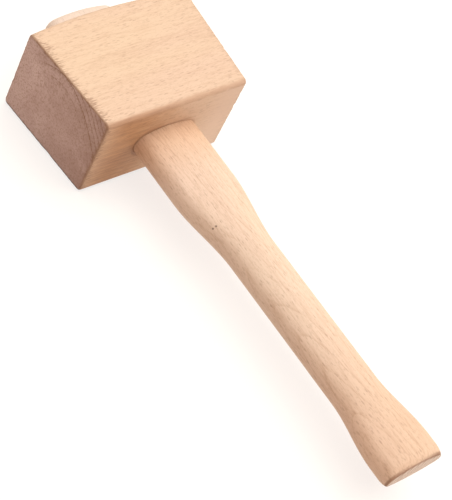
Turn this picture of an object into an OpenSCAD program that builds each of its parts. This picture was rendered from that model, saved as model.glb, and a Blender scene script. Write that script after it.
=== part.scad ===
// Joiner's mallet: a beech head with a tapered mortise, and a one-piece beech handle that is
// driven in from the top and held by its taper alone.
//
// The mallet lies on one broad side of its head. +X runs along the head from one striking face
// to the other, +Y along the handle towards the top of the head, and +Z is up, through the
// thickness. The origin is the centre of the broad face that the head rests on.

/* [Head] */
// Length of the head along its top
head_top_length = 115; // [108:1:150]
// Length of the head along its underside, where the handle comes out
head_bottom_length = 104; // [90:1:107]
// Height of the head at its striking faces
head_height = 75; // [60:1:100]
// Thickness of the head, between its two broad faces
head_thickness = 60; // [40:1:80]
// How far the arched top rises above its ends
crown_rise = 4; // [1:0.5:6]
// Radius of the four rounded edges that run along the head
long_edge_r = 3; // [1:0.5:6]
// Size of the small chamfer round each striking face
face_chamfer = 1; // [0.5:0.1:2]

/* [Handle] */
// Thickness of the handle, the same from tip to butt
handle_thickness = 21.4; // [18:0.2:26]
// Radius of the handle's rounded sides
side_r = 8.8; // [7.2:0.2:8.8]
// Width of the handle where it enters the head, and of the shoulder below it
shoulder_width = 44.4; // [38:0.2:50]
// Angle by which each side of the tenon slopes outwards, towards the tip
tenon_taper = 1.8; // [0.5:0.1:3]
// How far the tip stands above the arched top
tip_height = 18; // [6:1:30]
// How far the handle reaches below the head
handle_reach = 246; // [230:1:300]
// Length of the straight shoulder below the head
shoulder_length = 42; // [20:1:60]
// Length over which the shoulder narrows to the waist
shoulder_fall = 50; // [30:1:70]
// Width of the waist that the hand holds
waist_width = 32; // [26:0.2:36]
// Length over which the waist widens to the butt
butt_flare = 42; // [30:1:60]
// Width of the butt, never more than the shoulder's, because it passes through the mortise
butt_width = 42.6; // [36:0.2:44]
// Length of the full-width butt below the flare
butt_length = 14; // [8:1:30]
// Radius of the rounded edge of the tip
tip_edge_r = 5; // [2:0.5:7]
// Radius that rounds the butt end over from its broad faces
butt_face_r = 6.8; // [2:0.2:7]
// How far the same rounding draws the narrow sides of the butt in
butt_side_r = 1.0; // [0.6:0.2:4]

/* [Fit] */
// Clearance between the tenon and the mortise, all round
fit_clearance = 0.05; // [0.02:0.01:0.1]

/* [Hidden] */

// The head
underside_y = -head_height / 2;
face_end_y = head_height / 2;
crown_y = face_end_y + crown_rise;
axis_z = head_thickness / 2;
face_mid_x = (head_top_length + head_bottom_length) / 4;
face_tilt = atan((head_top_length - head_bottom_length) / 2 / head_height);
crown_r = (pow(head_top_length / 2, 2) + pow(crown_rise, 2)) / (2 * crown_rise);
crown_end_slope = asin(head_top_length / 2 / crown_r);
crown_segments = 480;
edge_segments = 48;

// The handle. Its half-widths
shoulder_half = shoulder_width / 2;
waist_half = waist_width / 2;
butt_half = min(butt_width, shoulder_width) / 2;
half_thickness = handle_thickness / 2;

// Where its stretches end, from the tip down
tip_y = crown_y + tip_height;
shoulder_low_y = underside_y - shoulder_length;
waist_high_y = shoulder_low_y - shoulder_fall;
butt_end_y = underside_y - handle_reach;
butt_high_y = butt_end_y + butt_length;
waist_low_y = butt_high_y + butt_flare;

// How finely the handle's surface is divided
side_steps = 7;
face_steps = 5;
edge_steps = 6;
curve_steps = 12;

// Goes from 0 to 1 with t, and is level at both ends
function s_curve(t) = t * t * (3 - 2 * t);

// Half-width of the tenon at y, and of the mortise that it fills
function tenon_half(y) = shoulder_half + (y - underside_y) * tan(tenon_taper);

// Half-width of the handle at y
function handle_half(y) =
    y >= underside_y ? tenon_half(y)
    : y >= shoulder_low_y ? shoulder_half
    : y >= waist_high_y ?
        shoulder_half + (waist_half - shoulder_half) * s_curve((shoulder_low_y - y) / shoulder_fall)
    : y >= waist_low_y ? waist_half
    : y >= butt_high_y ?
        waist_half + (butt_half - waist_half) * s_curve((waist_low_y - y) / butt_flare)
    : butt_half;

// A quarter of an oval with half-width a and half-thickness b, as points [x, z] from +X to +Z.
// Its side is an arc of radius r, and its face a wide arc that meets the side without a corner.
function face_radius(a, b, r) = (pow(a - r, 2) + b * b - r * r) / (2 * (b - r));
function meeting_angle(a, b, r) = atan2(face_radius(a, b, r) - b, a - r);
function quarter(a, b, r) =
    let (face_r = face_radius(a, b, r), meeting = meeting_angle(a, b, r))
    concat(
        [for (i = [0 : side_steps - 1])
            let (q = meeting * i / side_steps)
            [a - r + r * cos(q), r * sin(q)]],
        [for (i = [0 : face_steps])
            let (q = meeting + (90 - meeting) * i / face_steps)
            [face_r * cos(q), b - face_r + face_r * sin(q)]]
    );

// The whole oval, once round from +X, as points [x, z]
function oval(a, b, r) =
    let (q = quarter(a, b, r), last = len(q) - 1)
    concat(
        q,
        [for (i = [last - 1 : -1 : 0]) [-q[i][0], q[i][1]]],
        [for (i = [1 : last]) [-q[i][0], -q[i][1]]],
        [for (i = [last - 1 : -1 : 1]) [q[i][0], -q[i][1]]]
    );

// A ring of the handle's surface at y, drawn in at its narrow sides and at its broad faces
function ring(y, half_width, side_inset, face_inset) =
    let (a = half_width - side_inset, b = half_thickness - face_inset, r = side_r - face_inset)
    [for (p = oval(a, b, r)) [p[0], y, axis_z + p[1]]];

// Closed solid through a list of rings that go up in y
module loft(rings) {
    n = len(rings[0]);
    last = len(rings) - 1;
    polyhedron(
        points = [for (r = rings) each r],
        faces = concat(
            [[for (k = [n - 1 : -1 : 0]) k]],
            [for (i = [0 : last - 1], k = [0 : n - 1])
                [i * n + k, i * n + (k + 1) % n, (i + 1) * n + k]],
            [for (i = [0 : last - 1], k = [0 : n - 1])
                [i * n + (k + 1) % n, (i + 1) * n + (k + 1) % n, (i + 1) * n + k]],
            [[for (k = [0 : n - 1]) last * n + k]]
        ),
        convexity = 4
    );
}

// Rectangle from the origin to [width, height] with four rounded corners
module rounded_rectangle(width, height, r) {
    translate([r, 0]) square([width - 2 * r, height]);
    translate([0, r]) square([width, height - 2 * r]);
    for (x = [r, width - r], y = [r, height - r])
        translate([x, y]) circle(r, $fn = edge_segments);
}

// Outline of the head seen on its broad face, left open above for the arched top
module head_sides() {
    rise = head_height + 2 * crown_rise;
    spread = rise * tan(face_tilt);
    half = head_bottom_length / 2;
    linear_extrude(head_thickness)
        translate([0, underside_y])
            polygon([[-half, 0], [half, 0], [half + spread, rise], [-half - spread, rise]]);
}

// Bar along the head that gives the underside its two rounded edges
module head_bar() {
    rotate([90, 0, 90])
        linear_extrude(2 * head_top_length, center = true)
            translate([underside_y, 0])
                rounded_rectangle(2 * head_height, head_thickness, long_edge_r);
}

// Wide disc whose rim is the arched top, with the same two rounded edges
module head_crown() {
    translate([0, crown_y - crown_r, 0])
        rotate_extrude($fn = crown_segments)
            intersection() {
                translate([-crown_r, 0]) rounded_rectangle(2 * crown_r, head_thickness, long_edge_r);
                square([crown_r, head_thickness]);
            }
}

// Block beyond the chamfer of an edge that runs along Z through the origin, on its outward side
module beyond_chamfer(outward_angle) {
    rotate(outward_angle)
        translate([-face_chamfer / sqrt(2), -head_height, -head_height])
            cube(2 * head_height);
}

// Chamfers on the four edges of both striking faces
module face_chamfers() {
    for (side = [0, 1]) mirror([side, 0, 0]) {
        translate([head_bottom_length / 2, underside_y, axis_z])
            beyond_chamfer(-45 - face_tilt / 2);
        translate([head_top_length / 2, face_end_y, axis_z])
            beyond_chamfer(45 - (face_tilt + crown_end_slope) / 2);
        for (up = [0, 1])
            translate([face_mid_x, 0, up * head_thickness])
                rotate([90, 0, -face_tilt]) beyond_chamfer(up ? 45 : -45);
    }
}

// Tapered oval hole through the head, wider at the top
module mortise() {
    loft([for (y = [underside_y - 2 * crown_rise, crown_y + 2 * crown_rise])
        ring(y, tenon_half(y), -fit_clearance, -fit_clearance)]);
}

// The head: one block, arched on top, narrower at the underside
module head() {
    color([0.90, 0.72, 0.58])
        difference() {
            intersection() {
                head_sides();
                head_bar();
                head_crown();
            }
            face_chamfers();
            mortise();
        }
}

// The handle: tip, tenon, shoulder, waist and butt in one piece of wood
module handle() {
    butt_edge = [for (i = [edge_steps : -1 : 0])
        let (q = 90 * i / edge_steps)
        [
            butt_end_y + butt_face_r * (1 - sin(q)),
            butt_side_r * (1 - cos(q)),
            butt_face_r * (1 - cos(q))
        ]];
    flare = [for (i = [0 : curve_steps]) [butt_high_y + butt_flare * i / curve_steps, 0, 0]];
    fall = [for (i = [0 : curve_steps]) [waist_high_y + shoulder_fall * i / curve_steps, 0, 0]];
    tenon_foot = [[underside_y, 0, 0]];
    tip_edge = [for (i = [0 : edge_steps])
        let (q = 90 * i / edge_steps)
        [
            tip_y - tip_edge_r * (1 - sin(q)),
            tip_edge_r * (1 - cos(q)),
            tip_edge_r * (1 - cos(q))
        ]];
    color([0.95, 0.78, 0.63])
        loft([for (s = concat(butt_edge, flare, fall, tenon_foot, tip_edge))
            ring(s[0], handle_half(s[0]), s[1], s[2])]);
}

head();
handle();
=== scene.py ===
import math

import bmesh
import bpy
import numpy as np
from mathutils import Matrix, Vector, noise


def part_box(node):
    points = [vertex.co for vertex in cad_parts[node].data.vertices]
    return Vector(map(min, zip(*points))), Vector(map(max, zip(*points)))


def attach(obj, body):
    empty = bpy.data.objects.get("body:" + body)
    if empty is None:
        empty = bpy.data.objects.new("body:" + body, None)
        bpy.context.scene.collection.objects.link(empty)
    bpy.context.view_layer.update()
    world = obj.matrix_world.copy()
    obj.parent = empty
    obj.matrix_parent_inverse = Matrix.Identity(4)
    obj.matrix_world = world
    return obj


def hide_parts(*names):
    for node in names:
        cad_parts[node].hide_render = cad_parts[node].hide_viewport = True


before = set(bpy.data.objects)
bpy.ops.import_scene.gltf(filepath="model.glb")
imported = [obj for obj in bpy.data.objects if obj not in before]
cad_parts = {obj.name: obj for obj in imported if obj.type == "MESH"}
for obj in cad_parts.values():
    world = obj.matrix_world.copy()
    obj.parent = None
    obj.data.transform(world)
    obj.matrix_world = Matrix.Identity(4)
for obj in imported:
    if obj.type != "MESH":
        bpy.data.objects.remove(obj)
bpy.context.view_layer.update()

MM = 0.001

# The head. Its place comes from its CAD box, and what a box can't tell is named here.
HEAD_LOW, HEAD_HIGH = (np.array(corner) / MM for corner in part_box("head"))
UNDERSIDE_Y, CROWN_Y, HEAD_THICKNESS = HEAD_LOW[1], HEAD_HIGH[1], HEAD_HIGH[2]
HEAD_HEIGHT = 75.0  # at the striking faces, where the arched top ends
HEAD_TOP_LENGTH = 115.0
HEAD_BOTTOM_LENGTH = 104.0
LONG_EDGE_R = 3.0
ARRIS_R = 1.15  # rounding of the striking faces' edges
FACE_END_Y = UNDERSIDE_Y + HEAD_HEIGHT
CROWN_RISE = CROWN_Y - FACE_END_Y
CROWN_R = ((HEAD_TOP_LENGTH / 2) ** 2 + CROWN_RISE**2) / (2 * CROWN_RISE)
FACE_SLOPE = (HEAD_TOP_LENGTH - HEAD_BOTTOM_LENGTH) / 2 / HEAD_HEIGHT
AXIS_Z = HEAD_THICKNESS / 2

# The handle, in the same way
HANDLE_LOW, HANDLE_HIGH = (np.array(corner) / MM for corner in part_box("handle"))
BUTT_END_Y, TIP_Y = HANDLE_LOW[1], HANDLE_HIGH[1]
HALF_THICKNESS = (HANDLE_HIGH[2] - HANDLE_LOW[2]) / 2
SIDE_R = 8.8
SHOULDER_HALF, WAIST_HALF, BUTT_HALF = 22.2, 16.0, 21.3
TENON_TAPER_DEG = 1.8
TENON_SLOPE = math.tan(math.radians(TENON_TAPER_DEG))
SHOULDER_LENGTH, NARROWING, FLARE, BUTT_LENGTH = 42.0, 50.0, 42.0, 14.0  # along the handle
SHOULDER_LOW_Y = UNDERSIDE_Y - SHOULDER_LENGTH
WAIST_HIGH_Y = SHOULDER_LOW_Y - NARROWING
BUTT_HIGH_Y = BUTT_END_Y + BUTT_LENGTH
WAIST_LOW_Y = BUTT_HIGH_Y + FLARE
TIP_EDGE_R = 5.0
BUTT_FACE_R, BUTT_SIDE_R = 6.8, 1.0
FIT_CLEARANCE = 0.05

# ------------------------------------------------------------------ meshes


def patch_in(ring, across, along):
    """Points of a flat or gently curved patch inside a closed ring of 2 * (across + along)
    points that starts at a corner, as (along + 1) rows of (across + 1)."""
    b, c = across + along, 2 * across + along
    bottom, right = ring[: across + 1], ring[across : b + 1]
    top, left = ring[b : c + 1][::-1], np.vstack([ring[c:], ring[:1]])[::-1]
    s = np.linspace(0, 1, across + 1)[None, :, None]
    t = np.linspace(0, 1, along + 1)[:, None, None]
    corners = (1 - t) * ((1 - s) * bottom[0] + s * bottom[-1]) + t * (
        (1 - s) * top[0] + s * top[-1]
    )
    return (1 - t) * bottom + t * top + (1 - s) * left[:, None] + s * right[:, None] - corners


def patch_index(base, first_new, across, along):
    """Vertex numbers of such a patch, whose border is the ring that starts at base."""
    index = np.zeros((along + 1, across + 1), int)
    b, c, n = across + along, 2 * across + along, 2 * (across + along)
    index[1:-1, 1:-1] = first_new + np.arange((along - 1) * (across - 1)).reshape(along - 1, -1)
    index[0, :] = base + np.arange(across + 1)
    index[:, -1] = base + np.arange(across, b + 1)
    index[-1, ::-1] = base + np.arange(b, c + 1)
    index[::-1, 0] = base + np.append(np.arange(c, n), 0)
    return index


def closed_loft(name, rings, across, along):
    """A closed mesh of quads through rings of 2 * (across + along) points, patched at both ends."""
    n, last = len(rings[0]), len(rings) - 1
    points = [*rings]
    quads = [
        (i * n + k, i * n + (k + 1) % n, (i + 1) * n + (k + 1) % n, (i + 1) * n + k)
        for i in range(last)
        for k in range(n)
    ]
    total = len(rings) * n
    for end in (0, last):
        index = patch_index(end * n, total, across, along)
        inner = patch_in(np.array(rings[end]), across, along)[1:-1, 1:-1].reshape(-1, 3)
        points.append(inner)
        total += len(inner)
        corners = (index[:-1, :-1], index[:-1, 1:], index[1:, 1:], index[1:, :-1])
        quads += zip(*(c.ravel().tolist() for c in (corners if end else corners[::-1])))
    mesh = bpy.data.meshes.new(name)
    mesh.from_pydata(np.vstack(points) * MM, [], quads)
    form = bmesh.new()
    form.from_mesh(mesh)
    bmesh.ops.recalc_face_normals(form, faces=form.faces)
    form.to_mesh(mesh)
    form.free()
    made = bpy.data.objects.new(name, mesh)
    bpy.context.scene.collection.objects.link(made)
    return made


def lumps(point, sizes, seed):
    """Smooth noise, from about -1 to 1, at a point in mm. sizes are its lengths along X, Y, Z."""
    return noise.noise(Vector(c / size + seed for c, size in zip(point, sizes)))


def wear(made, depth):
    """Moves each vertex inwards by depth(point), in mm."""
    mesh = made.data
    normals = [v.normal.copy() for v in mesh.vertices]
    for v, normal in zip(mesh.vertices, normals):
        v.co -= normal * depth(v.co / MM) * MM
    mesh.update()


def cut_away(made, cutter):
    """Takes the cutter's shape out of a mesh, and removes the cutter."""
    cut = made.modifiers.new("cut", "BOOLEAN")
    cut.operation, cut.solver, cut.object = "DIFFERENCE", "EXACT", cutter
    shape = made.evaluated_get(bpy.context.evaluated_depsgraph_get())
    made.data = bpy.data.meshes.new_from_object(shape)
    made.modifiers.clear()
    bpy.data.objects.remove(cutter)


# ---- the head

CORNER_STEPS, SHORT_STEPS, LONG_STEPS = 10, 66, 84
ARRIS_STEPS = 6
LENGTH_STEPS = 112
CROWD = 0.6  # how much closer the rings lie near the striking faces

# Wear, in mm: how deep it goes, and the lengths of its lumps along X, Y and Z
PLANED_DEPTH, PLANED_LUMPS = 0.05, (45, 18, 18)
TORN_DEPTH, TORN_LUMPS = 0.32, (2.5, 1.5, 1.5)
CHIP_DEPTH, CHIP_LUMPS = 1.1, (8, 6, 6)
TORN_MORE, CHIPPED_LESS = 0.35, 0.25  # shifts of the lumps: only what is above 0 wears
WORN_FROM_FACE, WORN_FROM_SIDE = 1.3, 0.9  # how fast wear fades away from an edge


def half_length(y):
    """Distance of each striking face from the middle of the head, at y."""
    return HEAD_BOTTOM_LENGTH / 2 + (y - UNDERSIDE_Y) * FACE_SLOPE


def crown(x):
    """Height of the arched top at x."""
    return CROWN_Y - CROWN_R + np.sqrt(CROWN_R**2 - x**2)


def head_ring(x_at, inset):
    """A ring round the head: a rectangle with rounded corners, drawn in by inset. x_at gives the
    ring's x for each y."""
    r = LONG_EDGE_R - inset
    low, high = UNDERSIDE_Y + inset + r, crown(x_at(FACE_END_Y)) - inset - r
    z_low, z_high = inset + r, HEAD_THICKNESS - inset - r
    centres = [(high, z_low), (high, z_high), (low, z_high), (low, z_low)]
    turns = np.radians(np.linspace(-90, 0, CORNER_STEPS + 1))
    ring = []
    for k, (y, z) in enumerate(centres):
        arc = turns + math.radians(90 * k)
        ring.append(np.stack([y + r * np.cos(arc), z + r * np.sin(arc)], 1)[:-1])
        next_y, next_z = centres[(k + 1) % 4]
        side = np.array([math.cos(arc[-1]), math.sin(arc[-1])]) * r
        steps = LONG_STEPS if k % 2 else SHORT_STEPS
        ring.append(np.linspace((y, z) + side, (next_y, next_z) + side, steps, endpoint=False))
    y, z = np.roll(np.vstack(ring), -(CORNER_STEPS // 2), axis=0).T
    return np.stack([x_at(y), y, z], 1)


def head_rings():
    """All rings of the head, from its left striking face to its right one."""
    turns = np.radians(np.linspace(0, 90, ARRIS_STEPS + 1))
    edge = [(ARRIS_R * (1 - math.sin(q)), ARRIS_R * (1 - math.cos(q))) for q in turns]
    left = [head_ring(lambda y: back - half_length(y), inset) for back, inset in edge[::-1]]
    right = [head_ring(lambda y: half_length(y) - back, inset) for back, inset in edge]
    s = np.linspace(-1, 1, LENGTH_STEPS + 1)[1:-1]
    share = s + CROWD * np.sin(np.pi * s) / np.pi
    middle = [head_ring(lambda y: t * (half_length(y) - ARRIS_R), 0.0) for t in share]
    return left + middle + right


def head_wear(point):
    """How far the head's surface is worn or torn away at a point, in mm."""
    x, y, z = point
    to_face = max(half_length(y) - abs(x), 0.0)
    to_side = max(min(z, HEAD_THICKNESS - z, y - UNDERSIDE_Y, crown(x) - y), 0.0)
    planed = PLANED_DEPTH * (1 + lumps(point, PLANED_LUMPS, seed=3.1))
    near = math.exp(-to_face / WORN_FROM_FACE) * math.exp(-to_side / WORN_FROM_SIDE)
    torn = max(0.0, TORN_MORE + lumps(point, TORN_LUMPS, seed=7.7)) * TORN_DEPTH
    chipped = max(0.0, lumps(point, CHIP_LUMPS, seed=11.3) - CHIPPED_LESS) * CHIP_DEPTH
    return planed + near * (torn + chipped)


# ---- the handle and the mortise

SIDE_STEPS, TOP_STEPS = 10, 18
OVAL_ALONG, OVAL_ACROSS = 2 * SIDE_STEPS, 2 * TOP_STEPS
END_STEPS, HANDLE_STEPS = 10, 219
EASING = 0.45  # how far the mouths of the mortise are rounded over
EASING_STEPS, MORTISE_STEPS = 5, 19
OVERSHOOT = 2.0  # how far the cutter stands out of the head
SHAVED_DEPTH, SHAVED_LUMPS = 0.06, (9, 40, 9)  # wear of the handle, as for the head
RUBBED_DEPTH, RUBBED_LUMPS = 0.02, (3, 9, 3)


def oval(half_width, half_thickness, side_r):
    """An oval of four arcs, as offsets in x and z: round sides and flatter, crowned faces."""
    a, b, r = half_width, half_thickness, side_r
    face_r = ((a - r) ** 2 + b * b - r * r) / (2 * (b - r))
    meeting = math.atan2(face_r - b, a - r)
    side = np.linspace(0, meeting, SIDE_STEPS, endpoint=False)
    face = np.linspace(meeting, math.pi / 2, TOP_STEPS + 1)
    x = np.concatenate([a - r + r * np.cos(side), face_r * np.cos(face)])
    z = np.concatenate([r * np.sin(side), b - face_r + face_r * np.sin(face)])
    x = np.concatenate([x, -x[-2::-1], -x[1:], x[-2:0:-1]])
    z = np.concatenate([z, z[-2::-1], -z[1:], -z[-2:0:-1]])
    return np.roll(np.stack([x, z], 1), -SIDE_STEPS, axis=0)


def s_curve(t):
    """Goes from 0 to 1 with t, and is level at both ends."""
    return t * t * (3 - 2 * t)


def handle_half(y):
    """Half-width of the handle at y."""
    if y >= UNDERSIDE_Y:
        return SHOULDER_HALF + (y - UNDERSIDE_Y) * TENON_SLOPE
    fall = s_curve(min(max((SHOULDER_LOW_Y - y) / (SHOULDER_LOW_Y - WAIST_HIGH_Y), 0), 1))
    flare = s_curve(min(max((WAIST_LOW_Y - y) / (WAIST_LOW_Y - BUTT_HIGH_Y), 0), 1))
    return SHOULDER_HALF + (WAIST_HALF - SHOULDER_HALF) * fall + (BUTT_HALF - WAIST_HALF) * flare


def handle_ring(y, side_inset, face_inset):
    """A ring round the handle at y, drawn in at its narrow sides and at its broad faces."""
    half, thickness = handle_half(y) - side_inset, HALF_THICKNESS - face_inset
    x, z = oval(half, thickness, SIDE_R - face_inset).T
    return np.stack([x, np.full(len(x), y), z + AXIS_Z], 1)


def handle_rings():
    """All rings of the handle, from butt to tip."""
    turns = np.radians(np.linspace(0, 90, END_STEPS + 1))
    butt = []
    for q in turns[::-1]:
        y, inwards = BUTT_END_Y + BUTT_FACE_R * (1 - math.sin(q)), 1 - math.cos(q)
        butt.append(handle_ring(y, BUTT_SIDE_R * inwards, BUTT_FACE_R * inwards))
    tip = []
    for q in turns:
        y, inset = TIP_Y - TIP_EDGE_R * (1 - math.sin(q)), TIP_EDGE_R * (1 - math.cos(q))
        tip.append(handle_ring(y, inset, inset))
    between = np.linspace(BUTT_END_Y + BUTT_FACE_R, TIP_Y - TIP_EDGE_R, HANDLE_STEPS + 1)[1:-1]
    return butt + [handle_ring(y, 0.0, 0.0) for y in between] + tip


def handle_wear(point):
    """How far the handle's surface is worn away at a point, in mm. None of it is left proud."""
    shaved = SHAVED_DEPTH * (1 + lumps(point, SHAVED_LUMPS, seed=1.7))
    return shaved + RUBBED_DEPTH * (1 + lumps(point, RUBBED_LUMPS, seed=5.3))


def mortise_cutter():
    """What is cut from the head: the tapered oval hole, with its two mouths rounded over."""
    turns = np.radians(np.linspace(0, 90, EASING_STEPS + 1))

    def ring(surface, inwards, out):
        """A ring at a distance inwards from the head's surface, and out from the hole's wall."""
        middle = surface(0.0) + inwards
        half = SHOULDER_HALF + (middle - UNDERSIDE_Y) * TENON_SLOPE
        grow = FIT_CLEARANCE + out
        x, z = oval(half + grow, HALF_THICKNESS + grow, SIDE_R + grow).T
        return np.stack([x, surface(x) + inwards, z + AXIS_Z], 1)

    def underside(x):
        return UNDERSIDE_Y + 0.0 * x

    rings = [ring(underside, -OVERSHOOT, EASING + OVERSHOOT)]
    rings += [
        ring(underside, EASING * (1 - math.cos(q)), EASING * (1 - math.sin(q))) for q in turns
    ]
    rings += [
        ring(lambda x: underside(x) + (crown(x) - underside(x)) * t, 0.0, 0.0)
        for t in np.linspace(0, 1, MORTISE_STEPS + 1)[1:-1]
    ]
    rings += [
        ring(crown, -EASING * (1 - math.cos(q)), EASING * (1 - math.sin(q))) for q in turns[::-1]
    ]
    rings.append(ring(crown, OVERSHOOT, EASING + OVERSHOOT))
    return closed_loft("cutter", rings, OVAL_ACROSS, OVAL_ALONG)


head = closed_loft(
    "mallet_head", head_rings(), SHORT_STEPS + CORNER_STEPS, LONG_STEPS + CORNER_STEPS
)
wear(head, head_wear)
cut_away(head, mortise_cutter())
handle = closed_loft("mallet_handle", handle_rings(), OVAL_ACROSS, OVAL_ALONG)
wear(handle, handle_wear)
for piece in (head, handle):
    piece.data.shade_smooth()

# ------------------------------------------------------------------ wood


NOISE_GAIN = 1.6
WOOD_SPECULAR = 0.3


class Field:
    """A number that varies over a surface. Sums, products and the like add the nodes for them."""

    def __init__(self, graph, socket):
        self.graph, self.socket = graph, socket

    def _with(self, operation, *others):
        return self.graph.math(operation, self, *others)

    def __add__(self, other):
        return self._with("ADD", other)

    def __sub__(self, other):
        return self._with("SUBTRACT", other)

    def __rsub__(self, other):
        return self.graph.math("SUBTRACT", other, self)

    def __mul__(self, other):
        return self._with("MULTIPLY", other)

    def __truediv__(self, other):
        return self._with("DIVIDE", other)

    def __abs__(self):
        return self._with("ABSOLUTE")

    __radd__, __rmul__ = __add__, __mul__

    def least(self, other):
        return self._with("MINIMUM", other)

    def most(self, other):
        return self._with("MAXIMUM", other)

    def fract(self):
        return self._with("FRACT")

    def floor(self):
        return self._with("FLOOR")

    def root(self):
        return self._with("SQRT")

    def step(self, low, high):
        """Goes smoothly from 0 at low to 1 at high. low may be above high."""
        node = self.graph.add(
            "ShaderNodeMapRange",
            {
                "Value": self,
                "From Min": min(low, high),
                "From Max": max(low, high),
                "To Min": 0.0 if low < high else 1.0,
                "To Max": 1.0 if low < high else 0.0,
            },
            interpolation_type="SMOOTHSTEP",
        )
        return Field(self.graph, node.outputs["Result"])


class Graph:
    """A material whose nodes are added one formula at a time."""

    def __init__(self, name):
        self.material = bpy.data.materials.new(name)
        self.material.use_nodes = True
        self.tree = self.material.node_tree
        self.tree.nodes.clear()

    def add(self, kind, inputs, **settings):
        node = self.tree.nodes.new(kind)
        for key, value in settings.items():
            setattr(node, key, value)
        for key, value in inputs.items():
            if isinstance(value, Field):
                self.tree.links.new(value.socket, node.inputs[key])
            else:
                node.inputs[key].default_value = value
        return node

    def math(self, operation, *values):
        node = self.add("ShaderNodeMath", dict(enumerate(values)), operation=operation)
        return Field(self, node.outputs[0])

    def place(self):
        """x, y and z of the surface in mm, and its outward direction's x, y and z."""
        at = self.add("ShaderNodeTexCoord", {})
        parts = []
        for output, scale in (("Object", 1 / MM), ("Normal", 1.0)):
            split = self.add("ShaderNodeSeparateXYZ", {"Vector": Field(self, at.outputs[output])})
            parts.append([Field(self, s) * scale for s in split.outputs])
        return parts

    def vector(self, *values):
        node = self.add("ShaderNodeCombineXYZ", dict(enumerate(values)))
        return Field(self, node.outputs[0])

    def drawn_out(self, grain, size, shifts=(0, 0, 0)):
        """Where a pattern is looked up. grain is the place along the grain and in the two
        directions across it, and size is the pattern's lengths along the grain and across."""
        length, width = size
        parts = [c / extent for c, extent in zip(grain, (length, width, width))]
        return self.vector(*(part + shift if shift else part for part, shift in zip(parts, shifts)))

    def noise(self, vector, detail, roughness=0.5):
        """Smooth noise round 0, mostly from -0.5 to 0.5."""
        node = self.add(
            "ShaderNodeTexNoise",
            {"Vector": vector, "Scale": 1.0, "Detail": detail, "Roughness": roughness},
        )
        return (Field(self, node.outputs["Fac"]) - 0.5) * NOISE_GAIN

    def cells(self, vector):
        """Distance to the nearest of many scattered points, and that point's random number."""
        node = self.add("ShaderNodeTexVoronoi", {"Vector": vector, "Scale": 1.0})
        split = self.add("ShaderNodeSeparateColor", {"Color": Field(self, node.outputs["Color"])})
        return Field(self, node.outputs["Distance"]), Field(self, split.outputs[0])

    def random(self, value):
        node = self.add("ShaderNodeTexWhiteNoise", {"W": value}, noise_dimensions="1D")
        return Field(self, node.outputs["Value"])

    def mix(self, share, first, second, blend="MIX"):
        """Goes from colour first to colour second as share goes from 0 to 1. With blend
        "MULTIPLY" it goes to their product, which stains the first and keeps its pattern."""
        node = self.add(
            "ShaderNodeMix",
            {"Factor": share, "A": (0, 0, 0, 1), "B": (0, 0, 0, 1)},
            data_type="RGBA",
            blend_type=blend,
        )
        for socket, value in ((node.inputs[6], first), (node.inputs[7], second)):
            if isinstance(value, Field):
                self.tree.links.new(value.socket, socket)
            else:
                socket.default_value = (*value, 1.0)
        return Field(self, node.outputs[2])

    def finish(self, colour, roughness, height, relief):
        """Adds the shader. relief is how far height 1 stands out, in metres."""
        bump = self.add("ShaderNodeBump", {"Height": height, "Strength": 1.0, "Distance": relief})
        shader = self.add(
            "ShaderNodeBsdfPrincipled",
            {
                "Base Color": colour,
                "Roughness": roughness,
                "Specular IOR Level": WOOD_SPECULAR,
                "Normal": Field(self, bump.outputs[0]),
            },
        )
        out = self.add("ShaderNodeOutputMaterial", {})
        self.tree.links.new(shader.outputs[0], out.inputs["Surface"])
        return self.material


# Linear colours of the wood. The tint that multiplies what it lies on paints shade on the head's
# underside and on the handle next to the head, and darkens the wood towards the butt.
PINK_BEECH = (0.620, 0.420, 0.290)
GOLD_BEECH = (0.630, 0.440, 0.285)
PALE_PINK = (0.66, 0.460, 0.335)
PALE_GOLD = (0.66, 0.48, 0.34)
LATE_WOOD = (0.43, 0.245, 0.145)
SHADE_AND_STAIN = (0.84, 0.64, 0.46)
RAY_BROWN = (0.25, 0.125, 0.068)
END_PINK = (0.585, 0.40, 0.34)
END_BROWN = (0.38, 0.228, 0.178)
END_PALE = (0.74, 0.63, 0.54)
# the dark line painted along the lowest edges as contact shade
CONTACT_SHADE = (0.06, 0.045, 0.038)
HOLE_BROWN = (0.085, 0.04, 0.022)

# Lengths of the wood's patterns along the grain and across it, in mm
WANDER, RIPPLE, STREAK, CLOUD, TINT = (130, 60), (45, 9), (70, 2.6), (22, 9), (120, 26)
FIBRE, STRAND_WIDTH = (16, 0.42), 1.0
PORES, GRIT, BLOTCH = (3, 0.5), (3, 1.3), (40, 14)
FRAY, BRUISE, SHADOW_STREAK = (6, 0.8), (9, 5), (20, 1.6)
WANDER_REACH, RIPPLE_REACH = 7, 0.9  # how far the growth rings stray
RAY_WIDTH, RAY_REACH = 0.8, 24  # across a ray, and outwards from the pith
SPECK_HEIGHT, SPECK_WIDTH, SPECK_REACH = 2.6, 0.45, 16
RAY_RADIUS = 46  # how far from the pith the widths of rays and specks are true
GRAIN_RELIEF = 0.06
END_FACING = (0.80, 0.97)  # how squarely a surface lies across the grain to be end grain

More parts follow.
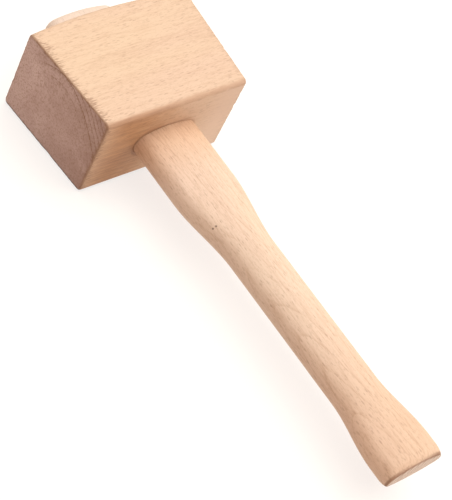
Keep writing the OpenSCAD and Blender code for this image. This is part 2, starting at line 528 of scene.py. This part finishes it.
# Marks on the wood. A pair is where a mark starts and where it has its full strength, in mm.
LEFT_STRUCK_X = (50.0, -50.0)  # the left striking face is the used one
# Where the handle's painted shadow lies on the head's underside
HANDLE_SHADOW_X, HANDLE_SHADOW_END_X = (16.0, -36.0), (-66.0, -34.0)
# Where painted light makes the underside's right paler
LIT_RIGHT_X = (20.0, 44.0)
# The second band holds painted shade and rubbed wear along the long edge
UNDERSIDE_BAND, RUBBED_SHADED_BAND = (2.8, 0.6), (4.0, 1.4)
# Painted shadow in the joint at the left of the mortise's lower mouth
RIM_X, RIM_BAND, RIM_DEPTH = (24.0, -6.0), (2.6, 0.2), (1.5, 0.5)
# Painted contact shade along the lowest edges, kept off the face that the mallet lies on
CONTACT_SHADE_BAND, LYING_FACE_SPARED = (2.2, 0.9), (0.12, 0.4)  # above the face that the mallet lies on
# Painted shade on the handle next to the head's underside, and darker wood towards the butt
SHADED_TENON_Y, SHADED_SHOULDER_Y, DARK_BUTT_Y = (25.0, -38.0), (-80.0, -38.0), (-150.0, -275.0)
PALE_TIP_Y = (CROWN_Y - 40.0, CROWN_Y + 10.0)
# Painted shade on the rounded edge of the butt's end, strongest towards the narrow sides
BUTT_EDGE_SHADE_BAND, BUTT_END_SPARED, BUTT_EDGE_SHADE_X = (2.4, 1.2), (0.1, 0.6), (0.0, 20.0)  # above the butt's end
PIN_HOLES, PIN_HOLE_EDGE = ((-16.4, -107.5, 35.7), (-14.7, -107.5, 37.3)), (0.85, 0.35)


def beech(
    name,
    along,
    pith,
    lean,
    flatten,
    ring_width,
    rings_show,
    ring_tone,
    ray_height,
    ray_tone,
    strand_length,
    strand_tone,
    side_colours,
    end_colours,
    end_shift,
    end_grit,
    arris_shade,
    seed,
    marks,
):
    """Beech in the round. along is the axis of the grain. Growth rings circle the pith, which
    lies at pith, in mm, and leans by lean mm per mm along the grain. flatten below 1 draws the
    rings out in the second direction across the grain. Rays run out from the pith: thin sheets
    that show as short dashes on one side of the wood, wider flakes on the next, and fine lines
    on the end grain. rings_show says how strongly the rings show at a place on the end grain,
    end_shift how its colours change per mm in the first direction across, and end_grit how
    coarse it looks. A tone is how dark a pattern is; the arris's tone is how dark the shade is
    that is painted on the rounding where long grain turns into end grain. marks gives what lies
    on the wood."""
    g = Graph(name)
    place, facing = g.place()
    a = place[along]
    p, q = (place[i] for i in range(3) if i != along)
    grain = a, p, q
    end = abs(facing[along]).step(*END_FACING)

    # Where the surface lies in the tree
    wander_p = g.noise(g.drawn_out(grain, WANDER, (seed, 0, 0)), 1.0)
    wander_q = g.noise(g.drawn_out(grain, WANDER, (0, seed, 0)), 1.0)
    ripple = g.noise(g.drawn_out(grain, RIPPLE, (0, 0, seed)), 2.0)
    out_p = p - pith[0] - a * lean[0] + wander_p * WANDER_REACH
    out_q = (q - pith[1] - a * lean[1] + wander_q * WANDER_REACH) * flatten
    radius = (out_p * out_p + out_q * out_q).root() + ripple * RIPPLE_REACH
    angle = g.math("ARCTAN2", out_p, out_q)

    # Growth rings of uneven width, each darker towards its outer edge
    uneven = g.noise(g.vector(radius / (5 * ring_width), 0.3 + seed, 0.7), 1.0)
    years = radius / ring_width + uneven * 1.6
    part = years.fract()
    strength = g.random(years.floor()) * 0.65 + 0.35
    late = part.step(0.35, 0.95) * part.step(1.0, 0.965) * strength
    line = part.step(0.8, 0.96) * part.step(1.0, 0.97) * strength

    # Rays, and the smaller specks between them
    arc = angle * RAY_RADIUS
    large, size = g.cells(g.vector(arc / RAY_WIDTH, a / ray_height, radius / RAY_REACH + seed))
    small, _ = g.cells(g.vector(arc / SPECK_WIDTH + seed, a / SPECK_HEIGHT, radius / SPECK_REACH))
    flecks = large.step(0.38, 0.20) * (size * 0.8 + 0.2)
    specks = small.step(0.32, 0.18)

    # Fibres, strands that follow the ripple of the rings, and slow changes of colour
    fibre = g.noise(g.drawn_out(grain, FIBRE), 3.0, 0.6)
    strand_at = g.drawn_out(grain, (strand_length, STRAND_WIDTH), (0, ripple * 1.5, seed))
    strand = g.noise(strand_at, 3.0, 0.7)
    streak = g.noise(g.drawn_out(grain, STREAK, (0, 0, seed)), 2.0)
    tint = g.noise(g.drawn_out(grain, TINT, (seed, 0, 0)), 1.0)
    cloud = g.noise(g.drawn_out(grain, CLOUD, (0, 0, seed)), 2.0)

    side = g.mix((tint * 1.2 + 0.5).most(0.0).least(1.0), *side_colours)
    tone = late * 0.08 + line * ring_tone + streak * 0.15 + fibre * 0.10
    tone = tone + strand * strand_tone + cloud * 0.06
    side = g.mix((tone + 0.06).most(0.0), side, LATE_WOOD)
    side = g.mix(flecks * ray_tone + specks * 0.18, side, RAY_BROWN)

    # End grain: pores and specks, and the growth rings where rings_show lets them show
    pores = g.noise(g.drawn_out(grain, PORES, (0, 0, seed)), 3.0, 0.7)
    grit = g.noise(g.drawn_out(grain, GRIT, (0, 0, seed)), 3.0, 0.7)
    blotch = g.noise(g.drawn_out(grain, BLOTCH, (seed, 0, 0)), 2.0)
    ends = g.mix((blotch * 0.6 + 0.5 - p * end_shift).most(0.0).least(1.0), *end_colours)
    rings = (late * 0.30 + line * 0.65) * rings_show(p, radius)
    tone = rings * 1.5 + (pores * 0.5 + grit * 1.8) * end_grit
    ends = g.mix((tone + 0.08).most(0.0), ends, RAY_BROWN)
    ends = g.mix(flecks * 0.15, ends, PINK_BEECH)
    colour = g.mix(end, side, ends)
    # Painted shade on the rounding where long grain turns into end grain
    colour = g.mix(end * (1 - end) * arris_shade, colour, RAY_BROWN)
    for share, mark_colour, blend in marks(g, place):
        colour = g.mix(share, colour, mark_colour, blend)

    height = fibre * 0.35 + strand * 0.25 + line * 0.2 - flecks * 0.3 + pores * end * 0.6
    roughness = 0.58 + end * 0.14 + fibre * 0.08 - flecks * 0.1
    return g.finish(colour, roughness, height, GRAIN_RELIEF * MM)


def head_marks(g, place):
    """Marks on the head, from the lowest layer up: painted shadow of the handle on the left of
    the underside, with grain streaks in it, painted light that makes its right paler, the long
    edge between the underside and the upper broad face darker as painted shade of its rounding
    and as rubbed wear, fibres torn dark along the striking faces, with short ticks that run from
    them into the long grain, painted shadow in the joint at the left of the mortise's lower
    mouth, and painted contact shade along the lowest edges."""
    x, y, z = place
    up = y - UNDERSIDE_Y
    to_face = half_length(y) - abs(x)
    fray = g.noise(g.drawn_out(place, FRAY), 2.0, 0.6)
    bruise = g.noise(g.drawn_out(place, BRUISE), 2.0)

    ticks = (fray * 1.5 + bruise * 0.6 - to_face * 0.10 + 0.42).step(0.0, 0.5) * 0.62
    edge = (to_face + bruise * 1.0 + fray * 1.0).step(1.5, 0.5) * (bruise * 0.7 + 0.8).least(0.95)
    struck = x.step(*LEFT_STRUCK_X) * 0.7 + 0.3
    torn = ticks.most(edge) * (to_face - 0.02).step(0.0, 0.2) * struck

    # Painted shade of the rounded long edge between the underside and the upper broad face, with
    # rubbed wear
    to_edge = (HEAD_THICKNESS - z).most(up)
    rubbed_and_shaded = (to_edge + fray * 1.6 + bruise * 1.5).step(*RUBBED_SHADED_BAND) * 0.65

    below = up.step(*UNDERSIDE_BAND)
    # Painted shadow of the handle on the left of the underside, with grain streaks drawn in it
    streaks = g.noise(g.drawn_out(place, SHADOW_STREAK), 3.0, 0.6)
    handle_shadow = (x + bruise * 10).step(*HANDLE_SHADOW_X) * x.step(*HANDLE_SHADOW_END_X) * below

    # Painted shadow in the joint at the left of the mortise's lower mouth
    out_x = (abs(x) - (SHOULDER_HALF - SIDE_R)).most(0.0)
    out_z = (abs(z - AXIS_Z) - (HALF_THICKNESS - SIDE_R)).most(0.0)
    to_rim = (out_x * out_x + out_z * out_z).root() - SIDE_R
    joint_shadow = to_rim.step(*RIM_BAND) * up.step(*RIM_DEPTH) * x.step(*RIM_X) * 0.6
    return (
        (handle_shadow, SHADE_AND_STAIN, "MULTIPLY"),
        # painted light: the right of the underside paler, as if lit from the right
        (x.step(*LIT_RIGHT_X) * below * 0.7, PALE_PINK, "MIX"),
        (rubbed_and_shaded, LATE_WOOD, "MIX"),
        (torn.most(joint_shadow).most(handle_shadow * (streaks * 0.9 + 0.30)), RAY_BROWN, "MIX"),
        # painted contact shade along the lowest edges, not on the face the mallet lies on
        (z.step(*CONTACT_SHADE_BAND) * z.step(*LYING_FACE_SPARED) * 0.8, CONTACT_SHADE, "MIX"),
    )


def handle_marks(g, place):
    """Marks on the handle, from the lowest layer up: painted shade next to the head's underside,
    fading along the foot and into the mortise, wood that darkens towards the butt, a paler tip,
    painted shade on the rounded edge of the butt's end, and two pin holes side by side at the
    left of the waist's upper end."""
    spots = []
    for at in PIN_HOLES:
        gap = [c - value for c, value in zip(place, at)]
        away = (gap[0] * gap[0] + gap[1] * gap[1] + gap[2] * gap[2]).root()
        spots.append(away.step(*PIN_HOLE_EDGE) * 0.75)
    x, y, _ = place
    # Painted shade next to the head's underside, fading along the foot and into the mortise, and
    # darker wood towards the butt
    shade_and_darker = y.step(*SHADED_SHOULDER_Y) * y.step(*SHADED_TENON_Y) * 0.58 + y.step(*DARK_BUTT_Y) * 0.32
    paler = y.step(*PALE_TIP_Y) * 0.4
    up = y - BUTT_END_Y
    # Painted shade on the rounded edge of the butt's end, strongest towards the narrow sides
    butt_edge_shade = up.step(*BUTT_EDGE_SHADE_BAND) * up.step(*BUTT_END_SPARED) * abs(x).step(*BUTT_EDGE_SHADE_X) * 0.8
    return (
        (shade_and_darker, SHADE_AND_STAIN, "MULTIPLY"),
        (paler, END_PALE, "MIX"),
        (butt_edge_shade, RAY_BROWN, "MIX"),
        (spots[0].most(spots[1]), HOLE_BROWN, "MIX"),
    )


head.data.materials.clear()
head.data.materials.append(
    beech(
        "head_beech",
        along=0,
        pith=(4.0, -10.0),
        lean=(0.015, 0.01),
        flatten=0.7,
        ring_width=3.4,
        rings_show=lambda p, radius: radius.step(32, 52) * p.step(30, 5),
        ring_tone=0.05,
        ray_height=5.4,
        ray_tone=0.32,
        strand_length=10.0,
        strand_tone=0.75,
        side_colours=(PINK_BEECH, GOLD_BEECH),
        end_colours=(END_PINK, END_BROWN),
        end_shift=0.011,
        end_grit=1.0,
        arris_shade=0.0,
        seed=2.3,
        marks=head_marks,
    )
)
handle.data.materials.append(
    beech(
        "handle_beech",
        along=1,
        pith=(25.0, -10.0),
        lean=(-0.065, 0.07),
        flatten=1.0,
        ring_width=2.6,
        rings_show=lambda p, radius: 1.0,
        ring_tone=0.26,
        ray_height=5.0,
        ray_tone=0.30,
        strand_length=14.0,
        strand_tone=0.85,
        side_colours=(PALE_PINK, PALE_GOLD),
        end_colours=(END_PALE, END_PALE),
        end_shift=0.0,
        end_grit=0.2,
        arris_shade=2.8,
        seed=5.9,
        marks=handle_marks,
    )
)

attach(head, "head")
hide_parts("head")
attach(handle, "handle")
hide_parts("handle")

# ------------------------------------------------------------------ floor, light and camera


FLOOR_REACH, FLOOR_DROP = 12.0, 0.1 * MM
FLOOR_COLOUR, FLOOR_ROUGHNESS, FLOOR_SPECULAR = (0.31, 0.27, 0.225), 0.8, 0.1
FLOOR_GLOW = 0.71  # makes the floor nearly white and its shadows faint, as on a light table


def pale_floor():
    """The floor's material: pale, dull and lit a little from within."""
    material = bpy.data.materials.new("pale_floor")
    material.use_nodes = True
    inputs = material.node_tree.nodes["Principled BSDF"].inputs
    inputs["Base Color"].default_value = (*FLOOR_COLOUR, 1.0)
    inputs["Roughness"].default_value = FLOOR_ROUGHNESS
    inputs["Specular IOR Level"].default_value = FLOOR_SPECULAR
    inputs["Emission Color"].default_value = (1.0, 1.0, 1.0, 1.0)
    inputs["Emission Strength"].default_value = FLOOR_GLOW
    return material


floor_mesh = bpy.data.meshes.new("floor")
floor_corners = [
    (sx * FLOOR_REACH, sy * FLOOR_REACH, -FLOOR_DROP)
    for sx, sy in ((-1, -1), (1, -1), (1, 1), (-1, 1))
]
floor_mesh.from_pydata(floor_corners, [], [(0, 1, 2, 3)])
floor = bpy.data.objects.new("floor", floor_mesh)
floor.data.materials.append(pale_floor())
bpy.context.scene.collection.objects.link(floor)


COOL, WARM = (0.88, 0.97, 1.0), (1.0, 0.56, 0.39)
WORLD_STRENGTH = 0.31


def sun(name, towards_light, strength, spread, colour=(1.0, 1.0, 1.0)):
    """A distant lamp. towards_light points from the object to it, and spread is its width in
    degrees, which softens its shadows."""
    data = bpy.data.lights.new(name, "SUN")
    data.energy, data.angle, data.color = strength, math.radians(spread), colour
    lamp = bpy.data.objects.new(name, data)
    lamp.rotation_mode = "QUATERNION"
    lamp.rotation_quaternion = Vector(towards_light).to_track_quat("Z", "Y")
    bpy.context.scene.collection.objects.link(lamp)


sun("key", (0.60, 0.10, 0.79), 1.5, 60, COOL)
sun("top", (0.00, 0.00, 1.00), 2.5, 70, COOL)
sun("back", (0.00, 0.62, 0.79), 0.5, 60, COOL)
sun("front", (0.72, -0.60, 0.34), 1.3, 45)

world = bpy.data.worlds.new("studio")
bpy.context.scene.world = world
world.use_nodes = True
backdrop = world.node_tree.nodes["Background"]
backdrop.inputs["Color"].default_value = (*WARM, 1.0)
backdrop.inputs["Strength"].default_value = WORLD_STRENGTH

# The camera looks from above, from the left of the head and the handle's side, and is turned
CAMERA_AT = (-0.6052, -0.45821, 0.78236)
CAMERA_RIGHT = (0.7538, -0.56208, 0.34037)
CAMERA_UP = (0.30325, 0.75709, 0.57866)
CAMERA_LENS, SENSOR_WIDTH = 128.99, 36.0
CLIP_START, CLIP_END = 0.01, 100.0
camera_data = bpy.data.cameras.new("camera")
camera_data.lens, camera_data.sensor_width = CAMERA_LENS, SENSOR_WIDTH
camera_data.clip_start, camera_data.clip_end = CLIP_START, CLIP_END
camera = bpy.data.objects.new("camera", camera_data)
right, up = Vector(CAMERA_RIGHT).normalized(), Vector(CAMERA_UP).normalized()
camera.matrix_world = (
    Matrix.Translation(CAMERA_AT) @ Matrix((right, up, right.cross(up))).transposed().to_4x4()
)
bpy.context.scene.collection.objects.link(camera)
bpy.context.scene.camera = camera
bpy.context.scene.view_settings.view_transform = "Standard"
